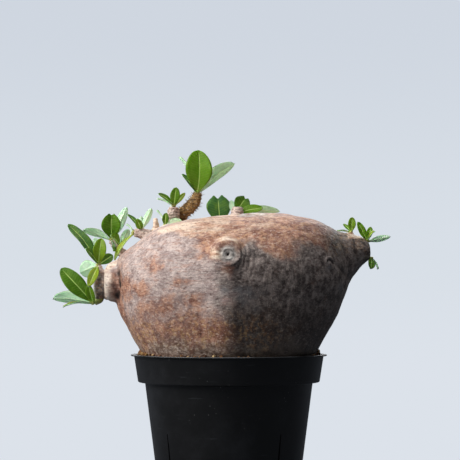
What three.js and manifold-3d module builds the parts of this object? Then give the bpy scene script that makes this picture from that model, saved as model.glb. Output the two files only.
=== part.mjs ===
// A potted pachypodium: a squat swollen stem (the caudex) with short stubs and
// tufts of leaves, growing in grit in a round black nursery pot with four slits.
//
// Units are millimetres and +Z is up. The origin is the centre of the pot's
// underside, +X is the plant's right and -Y is its front.
import * as THREE from "three";
import { mergeVertices } from "three/addons/utils/BufferGeometryUtils.js";
import Module from "manifold-3d";

const wasm = await Module();
wasm.setup();

// ---- driving dimensions -------------------------------------------------
const POT_HEIGHT = 98;
const POT_LIP_RADIUS = 60;
const POT_BASE_RADIUS = 40.8;
const POT_WALL = 1.4;
const POT_FACETS = 64;
const BAND_HEIGHT = 17; // the collar under the lip
const BAND_STEP = 4.2; // how far the collar stands out from the wall
const BAND_TOP_RADIUS = 58;
const LIP_THICKNESS = 1.1;
const WALL_TAPER = 0.13; // millimetres of radius gained per millimetre of height
const FOOT_BEVEL = 1.2;
const LEDGE_SLOPE = 0.3; // rise of the band's and the lip's undersides across their width

const SLIT_COUNT = 4;
const SLIT_HEIGHT = 52;
const SLIT_BOTTOM_WIDTH = 2.6;
const SLIT_TOP_WIDTH = 0.6;
const SLIT_INNER_RADIUS = 30; // the slits run in under the base to this radius
const SLIT_PHASE = THREE.MathUtils.degToRad(-5); // the pot stands a little turned

const GAP = 0.3; // kept between neighbouring solids
const GRIT_EDGE_DROP = 2; // how far the grit lies below the lip where it meets the wall
const GRIT_CROWN = 3; // how far it stands above the lip in the middle

const CAUDEX_CENTRE = new THREE.Vector3(3, 0, 142);
const CAUDEX_HALF_DEPTH = 62;
const CAUDEX_FULLNESS = 2.2; // 2 is an ellipse, more is squarer
const CAUDEX_DETAIL = 11;

const LEAF_THICKNESS = 0.7;
const LEAF_STATIONS = 6;
const LEAF_STALK_WIDTH = 1.3;
const LEAF_TIP_WIDTH = 1.0;

// ---- materials ------------------------------------------------------------
const finish = (color, roughness) => new THREE.MeshStandardMaterial({ color, roughness, metalness: 0 });
const potPlastic = finish(0x141517, 0.55);
const grit = finish(0x8a6a3f, 0.95);
const bark = finish(0x8b6f60, 0.75);
const stubBark = finish(0xb9a292, 0.8);
const spinyBark = finish(0x6b5335, 0.85);
const greenShoot = finish(0x6f7d35, 0.6);
const leafGreen = finish(0x4c7a1e, 0.45);

const plant = new THREE.Group();
plant.name = "potted_pachypodium";

// ---- helpers ----------------------------------------------------------------

function addPiece(name, geometry, material) {
  const mesh = new THREE.Mesh(geometry, material);
  mesh.name = name;
  plant.add(mesh);
}

/** A closed geometry as a solid that can be joined and cut. */
function solidFrom(geometry) {
  const bare = geometry.index ? geometry.toNonIndexed() : geometry.clone();
  bare.deleteAttribute("normal");
  bare.deleteAttribute("uv");
  const merged = mergeVertices(bare, 1e-4);
  return new wasm.Manifold(
    new wasm.Mesh({
      numProp: 3,
      vertProperties: merged.attributes.position.array,
      triVerts: new Uint32Array(merged.index.array),
    }),
  );
}

/** The other way: a solid as a geometry that three.js draws. */
function geometryFrom(solid) {
  const { vertProperties, triVerts } = solid.getMesh();
  const geometry = new THREE.BufferGeometry();
  geometry.setAttribute("position", new THREE.BufferAttribute(vertProperties, 3));
  geometry.setIndex(new THREE.BufferAttribute(triVerts, 1));
  geometry.computeVertexNormals();
  return geometry;
}

/** The value of evenly spaced samples at a share from 0 to 1, in straight stretches. */
function blendOf(samples, share) {
  const place = THREE.MathUtils.clamp(share, 0, 1) * (samples.length - 1);
  const before = Math.min(Math.floor(place), samples.length - 2);
  return THREE.MathUtils.lerp(samples[before], samples[before + 1], place - before);
}

/**
 * A round shoot along a smooth line through points, its radius taken from evenly spaced
 * samples. It can be grown by a margin all round, to cut what stands against it.
 */
function shootGeometry({ points, radii, sides = 10, steps = 6 }, margin = 0) {
  const line = new THREE.CatmullRomCurve3(points.map((p) => new THREE.Vector3(...p)));
  const frames = line.computeFrenetFrames(steps, false);
  const geometry = new THREE.CylinderGeometry(1, 1, 1, sides, steps);
  const position = geometry.attributes.position;
  for (let i = 0; i < position.count; i++) {
    const along = position.getY(i) + 0.5;
    const ring = Math.round(along * steps);
    const radius = blendOf(radii, along) + margin;
    const place = line
      .getPointAt(along)
      .addScaledVector(frames.tangents[ring], ring === steps ? margin : 0)
      .addScaledVector(frames.normals[ring], position.getX(i) * radius)
      .addScaledVector(frames.binormals[ring], -position.getZ(i) * radius);
    position.setXYZ(i, place.x, place.y, place.z);
  }
  return geometry;
}

/** A profile of [radius, height] pairs turned about the vertical axis. */
function turned(profile, facets) {
  const points = profile.map(([radius, height]) => new THREE.Vector2(radius, height));
  return new THREE.LatheGeometry(points, facets).rotateX(Math.PI / 2);
}

// ---- the pot ----------------------------------------------------------------

const wallRadius = (height) => POT_BASE_RADIUS + WALL_TAPER * height;
const bandBottom = POT_HEIGHT - BAND_HEIGHT;
const bandBottomRadius = wallRadius(bandBottom) + BAND_STEP;
const lipBottom = POT_HEIGHT - LIP_THICKNESS;

function potShell() {
  const outside = [
    [0, 0],
    [POT_BASE_RADIUS - FOOT_BEVEL, 0],
    [POT_BASE_RADIUS, FOOT_BEVEL],
    [wallRadius(bandBottom), bandBottom],
    [bandBottomRadius, bandBottom + LEDGE_SLOPE],
    [BAND_TOP_RADIUS, lipBottom],
    [POT_LIP_RADIUS, lipBottom + LEDGE_SLOPE],
    [POT_LIP_RADIUS, POT_HEIGHT],
  ];
  const inside = [
    [BAND_TOP_RADIUS - POT_WALL, POT_HEIGHT],
    [bandBottomRadius - POT_WALL, bandBottom + POT_WALL + LEDGE_SLOPE],
    [wallRadius(bandBottom) - POT_WALL, bandBottom + POT_WALL],
    [wallRadius(POT_WALL) - POT_WALL, POT_WALL],
    [0, POT_WALL],
  ];
  return solidFrom(turned([...outside, ...inside], POT_FACETS));
}

/** A tall wedge through the wall, narrow at its top, that also notches the base. */
function slitCutter(turn) {
  const below = -1;
  const outline = new THREE.Shape([
    new THREE.Vector2(-SLIT_BOTTOM_WIDTH / 2, below),
    new THREE.Vector2(SLIT_BOTTOM_WIDTH / 2, below),
    new THREE.Vector2(SLIT_TOP_WIDTH / 2, SLIT_HEIGHT),
    new THREE.Vector2(-SLIT_TOP_WIDTH / 2, SLIT_HEIGHT),
  ]);
  const depth = POT_LIP_RADIUS - SLIT_INNER_RADIUS;
  const wedge = new THREE.ExtrudeGeometry(outline, { depth, bevelEnabled: false });
  wedge.rotateX(Math.PI / 2).translate(0, -SLIT_INNER_RADIUS, 0).rotateZ(turn);
  return solidFrom(wedge);
}

function nurseryPot() {
  let pot = potShell();
  for (let i = 0; i < SLIT_COUNT; i++) {
    pot = pot.subtract(slitCutter(((i + 0.5) / SLIT_COUNT) * 2 * Math.PI + SLIT_PHASE));
  }
  return geometryFrom(pot);
}

// ---- the caudex -------------------------------------------------------------

// The body's outline seen from the front, as [across, height], anticlockwise from its right side.
const bodyOutline = [
  [74, 142],
  [73, 158],
  [67, 171.6],
  [56, 179.2],
  [41, 182.9],
  [23, 184.3],
  [4, 183.8],
  [-12, 182.3],
  [-28, 179.8],
  [-43, 175.6],
  [-55, 167.3],
  [-65, 157],
  [-70, 147],
  [-70.5, 136],
  [-67.5, 125],
  [-61.2, 113],
  [-54.6, 101.5],
  [-46.5, 88],
  [-32, 74],
  [0, 66],
  [32, 73],
  [48.5, 88],
  [55.6, 102.5],
  [63, 115.5],
  [69.5, 129],
];

/** The body's radius from its centre, seen from the front, at any angle. */
function radiusTable() {
  const outline = new THREE.CatmullRomCurve3(
    bodyOutline.map(([x, z]) => new THREE.Vector3(x, 0, z)),
    true,
    "centripetal",
  );
  return outline
    .getPoints(360)
    .map((point) => point.sub(CAUDEX_CENTRE))
    .map((arm) => ({ angle: Math.atan2(arm.z, arm.x), radius: arm.length() }))
    .sort((a, b) => a.angle - b.angle);
}

const outlineRadii = radiusTable();

function outlineRadius(angle) {
  const above = outlineRadii.findIndex((entry) => entry.angle >= angle);
  const high = outlineRadii[above < 0 ? 0 : above];
  const low = outlineRadii[above <= 0 ? outlineRadii.length - 1 : above - 1];
  const span = THREE.MathUtils.euclideanModulo(high.angle - low.angle, 2 * Math.PI);
  const part = THREE.MathUtils.euclideanModulo(angle - low.angle, 2 * Math.PI);
  return THREE.MathUtils.lerp(low.radius, high.radius, span ? part / span : 0);
}

// Broad swellings and hollows: where they point from the centre, how far they
// stand out, and their spread in degrees.
const swellings = [
  { toward: [-0.03, -1, 0.1], rise: 2.2, spread: 13 },
  { toward: [-0.02, -1, -0.22], rise: 2.4, spread: 11 },
  { toward: [0.0, -1, -0.5], rise: 2.6, spread: 12 },
  { toward: [0.5, -0.85, 0.15], rise: 1.5, spread: 20 },
  { toward: [0.32, -1, -0.25], rise: -1.6, spread: 13 },
  { toward: [-0.8, -0.75, -0.45], rise: 1.6, spread: 16 },
  { toward: [-0.8, -0.35, -0.15], rise: -1.8, spread: 12 },
  { toward: [-0.45, 1, 0.25], rise: 3, spread: 20 },
  { toward: [0.55, 1, -0.1], rise: 2.6, spread: 22 },
  { toward: [0.1, 1, -0.5], rise: -2, spread: 18 },
  { toward: [0.1, 0.45, 1], rise: -1.5, spread: 24 },
  { toward: [0.75, 0.6, 0.5], rise: 2.2, spread: 18 },
];

function caudexBody(margin) {
  const geometry = new THREE.IcosahedronGeometry(1, CAUDEX_DETAIL);
  const position = geometry.attributes.position;
  const arm = new THREE.Vector3();
  const bumps = swellings.map(({ toward, rise, spread }) => ({
    toward: new THREE.Vector3(...toward).normalize(),
    rise,
    spread: THREE.MathUtils.degToRad(spread),
  }));
  for (let i = 0; i < position.count; i++) {
    arm.fromBufferAttribute(position, i).normalize();
    const flat = Math.hypot(arm.x, arm.z) / outlineRadius(Math.atan2(arm.z, arm.x));
    const deep = Math.abs(arm.y) / CAUDEX_HALF_DEPTH;
    const smooth = (flat ** CAUDEX_FULLNESS + deep ** CAUDEX_FULLNESS) ** (-1 / CAUDEX_FULLNESS);
    const raised = bumps.reduce(
      (sum, bump) => sum + bump.rise * Math.exp(-((arm.angleTo(bump.toward) / bump.spread) ** 2)),
      0,
    );
    arm.multiplyScalar(smooth + raised + margin).add(CAUDEX_CENTRE);
    position.setXYZ(i, arm.x, arm.y, arm.z);
  }
  return geometry;
}

// Outgrowths of the caudex: each is a round shoot with a line and radii.
const outgrowths = {
  rightKnob: {
    points: [[48, -3, 153], [59, -4, 155.2], [66, -4, 157], [73, -4, 159.1], [80, -4, 160.8], [86.8, -4, 161.3]],
    radii: [20, 20, 20, 18.8, 16.4, 12.8, 9.2, 5.2],
    sides: 18,
    steps: 7,
  },
  leftBulge: {
    points: [[-58, -5, 141.6], [-66, -6, 142], [-75.8, -5, 142.2]],
    radii: [11, 10.8, 11, 11.8, 11.4, 8.2],
    sides: 16,
  },
  leftStump: {
    points: [[-68, -2.5, 140.4], [-76, -2, 140], [-81.4, -0.5, 139.8]],
    radii: [7.5, 7.3, 7.2, 7.3, 7.9, 8.5, 8.3],
    sides: 14,
  },
  nose: {
    points: [[-1.8, -46, 154.6], [-1.6, -56, 156], [-0.8, -65.6, 157.4]],
    radii: [12.6, 12.2, 11.4, 9.6, 7.4, 4.6],
    sides: 14,
  },
  ridgeBud: { points: [[-41, 15, 168], [-40, 14, 177.5]], radii: [3, 2.6, 1.4], sides: 8 },
  dryTwig: { points: [[-45, 14, 168], [-45.8, 14, 182.6]], radii: [2.4, 1.9, 1.3], sides: 6 },
  rightTopBud: { points: [[75, -2, 166], [75.4, -2, 173.6]], radii: [2.4, 1.8, 1], sides: 8 },
  rightTipBud: { points: [[79, -2, 163], [84.6, -2.5, 167.6]], radii: [3.4, 3, 1.8], sides: 8 },
  rightUnderBud: { points: [[81, -3, 160], [87, -4.4, 157.4]], radii: [3, 2.6, 1.5], sides: 8 },
  rightScar: { points: [[53, -31, 150.5], [59, -41, 151.8]], radii: [5.5, 4.6, 2.6], sides: 10 },
  backKnob: {
    points: [[-20, 46, 150], [-23, 60, 154], [-25, 69, 156.5]],
    radii: [13, 11.5, 9, 6.5, 5],
    sides: 14,
  },
};

/** The body with its outgrowths, or the same grown by a margin to cut what touches it. */
function caudex(margin = 0) {
  return Object.values(outgrowths).reduce(
    (whole, shoot) => whole.add(solidFrom(shootGeometry(shoot, margin))),
    solidFrom(caudexBody(margin)),
  );
}

// ---- the grit -----------------------------------------------------------------

// Grit is heaped against the caudex on the right, a little to the front.
const MOUND_DISTANCE = 47;
const MOUND_TURN = THREE.MathUtils.degToRad(-38);
const MOUND_HALF_SIZE = [8.6, 18, 5.6];
const MOUND_FACETS = 20;

function gritFill(clearCaudex) {
  const inset = POT_WALL + GAP;
  const rim = BAND_TOP_RADIUS - inset - GAP;
  const profile = [
    [0, inset],
    [wallRadius(POT_WALL) - inset, inset],
    [wallRadius(bandBottom) - inset, bandBottom + inset],
    [bandBottomRadius - inset, bandBottom + inset + LEDGE_SLOPE],
    [rim, POT_HEIGHT - GRIT_EDGE_DROP],
    [rim - GRIT_EDGE_DROP, POT_HEIGHT - GRIT_EDGE_DROP / 3],
    [rim - 3 * GRIT_EDGE_DROP, POT_HEIGHT + (2 * GRIT_CROWN) / 3],
    [0, POT_HEIGHT + GRIT_CROWN],
  ];
  const mound = new THREE.SphereGeometry(1, MOUND_FACETS, MOUND_FACETS / 2);
  mound.scale(...MOUND_HALF_SIZE).translate(MOUND_DISTANCE, 0, POT_HEIGHT).rotateZ(MOUND_TURN);
  const heaped = solidFrom(turned(profile, POT_FACETS / 2)).add(solidFrom(mound));
  return geometryFrom(heaped.subtract(clearCaudex));
}

// ---- stubs and branches that stand on the caudex ------------------------------

const branches = {
  left_low_shoot: {
    points: [[-76.5, -2, 137], [-79.5, -3, 131.5], [-82.3, -3.4, 129.2]],
    radii: [3.4, 3, 2.6, 1.6],
    material: greenShoot,
  },
  left_top_shoot: {
    points: [[-78.5, -1.5, 144], [-79.5, -1.6, 149.5], [-80, -1.6, 152.8]],
    radii: [3.2, 3, 2.6, 1.6],
    material: stubBark,
  },
  back_left_branch: {
    points: [[-53, 25, 150], [-60.5, 25, 155], [-67.5, 24.5, 161], [-72, 23, 166], [-74.2, 22, 169]],
    radii: [4.4, 4, 3.6, 3.2, 2.9, 2.8, 1.8],
    material: stubBark,
  },
  shoulder_stub: {
    points: [[-44, 14, 168], [-51, 14, 171.8], [-59, 14, 173.6]],
    radii: [4.4, 4, 3.7, 3.3, 2.6],
    material: stubBark,
  },
  forked_stub: {
    points: [[-35, 19, 170], [-35.2, 18, 181], [-34.4, 16, 189.6]],
    radii: [3.8, 3.8, 3.9, 4.2, 4.2, 2.8],
    material: stubBark,
  },
  spiny_branch: {
    points: [
      [-31, 28, 170],
      [-31.4, 27, 180],
      [-29, 23, 186],
      [-24, 18.6, 190],
      [-20.4, 17.2, 194.6],
      [-20, 17, 198],
    ],
    radii: [3.6, 3.2, 3, 3.2, 3.4, 3.5, 3.4, 3.2, 2.2],
    steps: 8,
    material: spinyBark,
  },
  crown_stub: {
    points: [[5, 20, 176], [5.2, 20, 184], [5.5, 20, 190]],
    radii: [5.2, 4.8, 4.5, 4.4, 4, 2.8],
    material: stubBark,
  },
};

function addBranches(clearCaudex) {
  for (const [name, branch] of Object.entries(branches)) {
    const outside = solidFrom(shootGeometry(branch)).subtract(clearCaudex).decompose();
    const kept = outside.reduce((best, piece) => (piece.volume() > best.volume() ? piece : best));
    addPiece(name, geometryFrom(kept), branch.material);
  }
}

// ---- leaves ---------------------------------------------------------------------

// Ways a leaf's upper face can turn, before it is squared to the leaf's own line.
const FRONT = [0, -1, 0.1];
const BACK = [0, 1, 0.15];
const UP = [0, 0, 1];
const UP_FRONT = [0, -0.7, 0.8];
const UP_BACK = [0, 0.75, 0.7];
const LEFT = [-1, 0.1, 0.3];

// Each tuft has a crown, the point that its leaves spring from. A leaf has its turn
// about the vertical (0 is right, 90 is back), its rise above the horizon, where it
// begins and ends along that line from the crown, its width, and its upper face.
const tufts = {
  left_low_leaf: {
    crown: [-82.6, -3.4, 129],
    leaves: [
      { turn: 186, rise: 47, from: 2.4, to: 29.6, width: 11.5, face: FRONT },
      { turn: 166, rise: 8, from: 3.2, to: 27, width: 10.5, face: UP_BACK },
      { turn: 199, rise: -4, from: 2.4, to: 19.5, width: 6.5, face: UP },
      { turn: 160, rise: 60, from: 4.5, to: 15.5, width: 5, face: LEFT },
      { turn: 256, rise: 52, from: 3.2, to: 14.5, width: 6, face: [-0.3, -1, 0.1] },
    ],
  },
  left_top_leaf: {
    crown: [-80, -1.6, 152.8],
    leaves: [
      { turn: 298, rise: 78, from: 2.4, to: 16.6, width: 8.4, face: FRONT },
      { turn: 218, rise: 46, from: 2.6, to: 13.6, width: 6.4, face: UP_FRONT },
      { turn: 170, rise: 53, from: 3, to: 32, width: 9, face: [0.5, -0.7, 0.5] },
      { turn: 112, rise: 62, from: 3, to: 19, width: 9, face: BACK },
      { turn: 170, rise: -22, from: 3, to: 12.6, width: 11.5, face: BACK },
      { turn: 247, rise: -46, from: 4.4, to: 18.5, width: 6, face: FRONT },
      { turn: 24, rise: 34, from: 4, to: 11, width: 6.4, face: FRONT },
    ],
  },
  back_left_leaf: {
    crown: [-74, 22, 169],
    leaves: [
      { turn: 275, rise: 72, from: 2.4, to: 17.4, width: 12.6, face: FRONT },
      { turn: 36, rise: 62, from: 2.6, to: 24, width: 6.5, face: BACK },
      { turn: 196, rise: 18, from: 2.8, to: 19.5, width: 6.6, face: UP_BACK },
      { turn: 100, rise: 35, from: 2.6, to: 16, width: 7, face: UP },
      { turn: 282, rise: -34, from: 3.4, to: 12.5, width: 4.5, face: UP_BACK },
    ],
  },
  side_branch_leaf: {
    crown: [-68.5, 20.5, 165.2],
    leaves: [
      { turn: 226, rise: 42, from: 1.4, to: 10.2, width: 8.6, face: UP_FRONT },
      { turn: 354, rise: 64, from: 2, to: 12, width: 5.4, face: BACK },
    ],
  },
  shoulder_leaf: {
    crown: [-54.6, 14, 175],
    leaves: [
      { turn: 194, rise: 47, from: 2, to: 13.2, width: 3.4, face: UP_FRONT },
      { turn: 250, rise: 40, from: 2, to: 10, width: 4.8, face: FRONT },
      { turn: 100, rise: 68, from: 2, to: 9.5, width: 3.6, face: BACK },
      { turn: 355, rise: 66, from: 2, to: 15, width: 4.6, face: BACK },
    ],
  },
  stub_end_leaf: {
    crown: [-59.4, 14, 173.2],
    leaves: [
      { turn: 147, rise: 45, from: 2.4, to: 8.4, width: 3, face: [0.8, 0.1, 0.6] },
      { turn: 190, rise: -54, from: 3.4, to: 21, width: 6.2, face: [-0.75, -0.5, 0.4] },
    ],
  },
  ridge_leaf: {
    crown: [-40, 14, 177.4],
    leaves: [
      { turn: 158, rise: 64, from: 2, to: 11.4, width: 3, face: [0.9, 0, 0.5] },
      { turn: 290, rise: 74, from: 2, to: 8.6, width: 4.4, face: FRONT },
      { turn: 336, rise: 18, from: 2.4, to: 12, width: 5, face: UP_BACK },
    ],
  },
  forked_leaf: {
    crown: [-34.4, 16, 190],
    leaves: [
      { turn: 202, rise: 38, from: 2.2, to: 13, width: 4.6, face: UP_FRONT },
      { turn: 288, rise: 70, from: 2.2, to: 12.4, width: 6.4, face: FRONT },
      { turn: 5, rise: 52, from: 2.4, to: 11, width: 3.2, face: FRONT },
      { turn: 160, rise: 24, from: 3.2, to: 12.6, width: 3, face: [0.6, 0.1, 0.9] },
    ],
  },
  spiny_branch_leaf: {
    crown: [-20, 17, 197.6],
    leaves: [
      { turn: 283, rise: 77, from: 2.4, to: 28, width: 17.4, face: [-0.1, -1, 0.1] },
      { turn: 20, rise: 41, from: 2.8, to: 32, width: 11.5, face: [-0.4, 0.7, 0.6] },
      { turn: 138, rise: 58, from: 3, to: 29, width: 9, face: [0.85, 0.1, 0.5] },
      { turn: 203, rise: 50, from: 2.8, to: 16, width: 5, face: [0.3, -0.6, 0.6] },
    ],
  },
  crown_leaf: {
    crown: [4, 24.5, 186],
    leaves: [
      { turn: 112, rise: 52, from: 3, to: 11, width: 5, face: BACK },
      { turn: 25, rise: 55, from: 3.4, to: 13, width: 10.5, face: FRONT },
      { turn: 350, rise: 10, from: 4.5, to: 18, width: 6.5, face: [0, -1, 0.5] },
      { turn: 14, rise: 4, from: 7, to: 29, width: 7, face: UP_BACK },
    ],
  },
  crown_side_leaf: {
    crown: [-5.6, 34, 178.4],
    leaves: [{ turn: 190, rise: 86, from: 2, to: 20, width: 16, face: FRONT }],
  },
  right_top_leaf: {
    crown: [75.4, -2, 172.6],
    leaves: [
      { turn: 273, rise: 78, from: 1.2, to: 9.6, width: 5, face: FRONT },
      { turn: 155, rise: 45, from: 1.8, to: 7.6, width: 3, face: UP_FRONT },
      { turn: 172, rise: 8, from: 2.4, to: 9, width: 4, face: UP },
    ],
  },
  right_tip_leaf: {
    crown: [85, -2.5, 167],
    leaves: [
      { turn: 213, rise: 58, from: 2.2, to: 14, width: 4.6, face: FRONT },
      { turn: 50, rise: 68, from: 2.2, to: 10, width: 4, face: FRONT },
      { turn: 300, rise: 40, from: 2, to: 9.6, width: 4.4, face: UP_FRONT },
      { turn: 14, rise: 12, from: 2.4, to: 15.4, width: 4, face: BACK },
    ],
  },
  right_under_leaf: {
    crown: [87, -4.6, 157.2],
    leaves: [
      { turn: 262, rise: -56, from: 2.4, to: 8.4, width: 5.4, face: [0.5, -1, 0] },
      { turn: 335, rise: -56, from: 2.2, to: 8.6, width: 3, face: [0.6, 0.2, 0.8] },
    ],
  },
};

const LEAF_CUP = 0.22; // how steeply the two halves fold up from the midrib
const LEAF_BOW = 0.07; // height of the midrib's arch as a share of the leaf's length

/** Half the blade's width at a share of its length: a slim stalk, broad past the middle, blunt tip. */
function leafHalfWidth(share, width) {
  const stalk = THREE.MathUtils.lerp(LEAF_STALK_WIDTH, LEAF_TIP_WIDTH, share) / 2;
  const blade = (width / 2) * Math.sin(Math.PI * share ** 1.36) ** 0.8;
  return Math.max(stalk, blade);
}

/** A thin blade along +Y with its upper face towards +Z and its stalk end at the origin. */
function leafGeometry(length, width) {
  const geometry = new THREE.CylinderGeometry(1, 1, 1, 4, LEAF_STATIONS);
  const position = geometry.attributes.position;
  for (let i = 0; i < position.count; i++) {
    const share = position.getY(i) + 0.5;
    const across = position.getX(i) * leafHalfWidth(share, width);
    const arch = LEAF_BOW * length * Math.sin(Math.PI * share);
    const height = (position.getZ(i) * LEAF_THICKNESS) / 2 + LEAF_CUP * Math.abs(across) + arch;
    position.setXYZ(i, across, share * length, height);
  }
  geometry.computeVertexNormals();
  return geometry;
}

function leafMesh(crown, { turn, rise, from, to, width, face }) {
  const [spin, lift] = [turn, rise].map(THREE.MathUtils.degToRad);
  const along = new THREE.Vector3(
    Math.cos(lift) * Math.cos(spin),
    Math.cos(lift) * Math.sin(spin),
    Math.sin(lift),
  );
  const across = along.clone().cross(new THREE.Vector3(...face)).normalize();
  const upper = across.clone().cross(along);
  const mesh = new THREE.Mesh(leafGeometry(to - from, width), leafGreen);
  mesh.quaternion.setFromRotationMatrix(new THREE.Matrix4().makeBasis(across, along, upper));
  mesh.position.set(...crown).addScaledVector(along, from);
  return mesh;
}

function addLeaves() {
  for (const [name, { crown, leaves }] of Object.entries(tufts)) {
    leaves.forEach((leaf, i) => {
      const mesh = leafMesh(crown, leaf);
      mesh.name = `${name}_${i + 1}`;
      plant.add(mesh);
    });
  }
}

// ---- the whole plant ------------------------------------------------------------

const clearCaudex = caudex(GAP);
addPiece("nursery_pot", nurseryPot(), potPlastic);
addPiece("grit", gritFill(clearCaudex), grit);
addPiece("caudex", geometryFrom(caudex()), bark);
addBranches(clearCaudex);
addLeaves();

export default plant;
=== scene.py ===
# A potted pachypodium: a squat swollen stem (the caudex) with short stubs and tufts of
# leaves, in grit, in a round black nursery pot with four slits.
# Lengths are metres, +Z is up, +X is the plant's right and -Y is its front.
import math
import random
from types import SimpleNamespace

import bmesh
import bpy
from mathutils import Matrix, Vector, noise
from mathutils.bvhtree import BVHTree
from mathutils.kdtree import KDTree


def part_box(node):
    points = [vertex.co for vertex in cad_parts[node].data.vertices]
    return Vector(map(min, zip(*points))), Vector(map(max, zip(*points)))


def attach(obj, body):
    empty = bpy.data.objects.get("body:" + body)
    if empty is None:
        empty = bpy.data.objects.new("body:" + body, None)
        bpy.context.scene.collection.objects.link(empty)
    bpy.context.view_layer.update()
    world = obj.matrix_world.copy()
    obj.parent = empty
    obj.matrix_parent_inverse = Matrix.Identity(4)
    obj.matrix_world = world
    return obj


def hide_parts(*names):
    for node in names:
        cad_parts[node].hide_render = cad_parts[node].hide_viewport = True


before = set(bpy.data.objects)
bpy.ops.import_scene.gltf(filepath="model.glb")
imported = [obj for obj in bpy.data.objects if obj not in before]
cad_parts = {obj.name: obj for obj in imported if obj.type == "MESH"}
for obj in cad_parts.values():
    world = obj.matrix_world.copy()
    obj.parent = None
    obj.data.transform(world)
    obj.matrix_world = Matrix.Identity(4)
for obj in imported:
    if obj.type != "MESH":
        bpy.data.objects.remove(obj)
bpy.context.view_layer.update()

MM = 0.001


# ---- small tools for meshes ----


def ease(low, high, value):
    """0 at low, 1 at high, and smooth between them."""
    share = min(max((value - low) / (high - low), 0.0), 1.0)
    return share * share * (3 - 2 * share)


def bump(distance, reach):
    """A round hump: 1 at no distance, fading out at about twice the reach."""
    return math.exp(-((distance / reach) ** 2))


def random_vector(draw, low, high):
    return Vector([draw.uniform(low, high) for _ in range(3)])


def facing(direction):
    """The turn that points +Z along a direction."""
    return direction.to_track_quat("Z", "Y").to_matrix().to_4x4()


def as_mesh(bm, name):
    mesh = bpy.data.meshes.new(name)
    bm.to_mesh(mesh)
    bm.free()
    return mesh


def placed(name, data):
    """A new object in the scene."""
    made = bpy.data.objects.new(name, data)
    bpy.context.scene.collection.objects.link(made)
    return made


def cad_points(node):
    return [vert.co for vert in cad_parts[node].data.vertices]


def applied(bm, kind, **settings):
    """bm with one modifier applied to it."""
    carrier = placed("passing", as_mesh(bm, "passing"))
    modifier = carrier.modifiers.new("passing", kind)
    for key, value in settings.items():
        setattr(modifier, key, value)
    depsgraph = bpy.context.evaluated_depsgraph_get()
    result = bpy.data.meshes.new_from_object(carrier.evaluated_get(depsgraph))
    done = bmesh.new()
    done.from_mesh(result)
    mesh = carrier.data
    bpy.data.objects.remove(carrier)
    bpy.data.meshes.remove(mesh)
    bpy.data.meshes.remove(result)
    return done


def evenly_skinned(node, voxel):
    """A CAD node's closed shape, its loose triangles joined, as one even skin of small faces."""
    bm = bmesh.new()
    bm.from_mesh(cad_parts[node].data)
    bmesh.ops.remove_doubles(bm, verts=bm.verts, dist=0.01 * MM)
    return applied(bm, "REMESH", mode="VOXEL", voxel_size=voxel)


def smoothed(bm, times, keep=lambda vert: False):
    verts = [vert for vert in bm.verts if not keep(vert)]
    axes = {"use_axis_x": True, "use_axis_y": True, "use_axis_z": True}
    for _ in range(times):
        bmesh.ops.smooth_vert(bm, verts=verts, factor=0.5, **axes)


def float_layer(bm, name):
    return bm.verts.layers.float.get(name) or bm.verts.layers.float.new(name)


def add_piece(name, bm, material, nodes=(), sharp_angle=None):
    mesh = as_mesh(bm, name)
    mesh.materials.append(material)
    mesh.shade_smooth()
    if sharp_angle:
        mesh.set_sharp_from_angle(angle=math.radians(sharp_angle))
    piece = placed(name, mesh)
    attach(piece, "root")
    if nodes:
        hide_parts(*nodes)


def spun(profile, steps):
    """A profile of (radius, height) pairs turned once round the vertical, facing outwards."""
    bm = bmesh.new()
    verts = [bm.verts.new((radius, 0, height)) for radius, height in profile]
    edges = [bm.edges.new(pair) for pair in zip(verts, verts[1:])]
    turn = {"cent": (0, 0, 0), "axis": (0, 0, 1), "angle": 2 * math.pi}
    bmesh.ops.spin(bm, geom=verts + edges, steps=steps, use_merge=True, **turn)
    bmesh.ops.remove_doubles(bm, verts=bm.verts, dist=0.005 * MM)
    bmesh.ops.recalc_face_normals(bm, faces=bm.faces)
    return bm


def rounded(profile, corners, segments=4):
    """A profile with an arc in place of each corner that has a radius in corners."""
    line = []
    for i, point in enumerate(profile):
        here = Vector(point)
        radius = corners.get(i, 0)
        if not radius:
            line.append(tuple(here))
            continue
        before = (Vector(profile[i - 1]) - here).normalized()
        after = (Vector(profile[i + 1]) - here).normalized()
        half = before.angle(after) / 2
        reach = radius / math.tan(half)
        centre = here + (before + after).normalized() * radius / math.sin(half)
        start = here + before * reach - centre
        end = here + after * reach - centre
        for step in range(segments + 1):
            arm = start.lerp(end, step / segments).normalized() * radius
            line.append(tuple(centre + arm))
    return line


# ---- small tools for materials ----

SHADER = "Principled BSDF"


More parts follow.
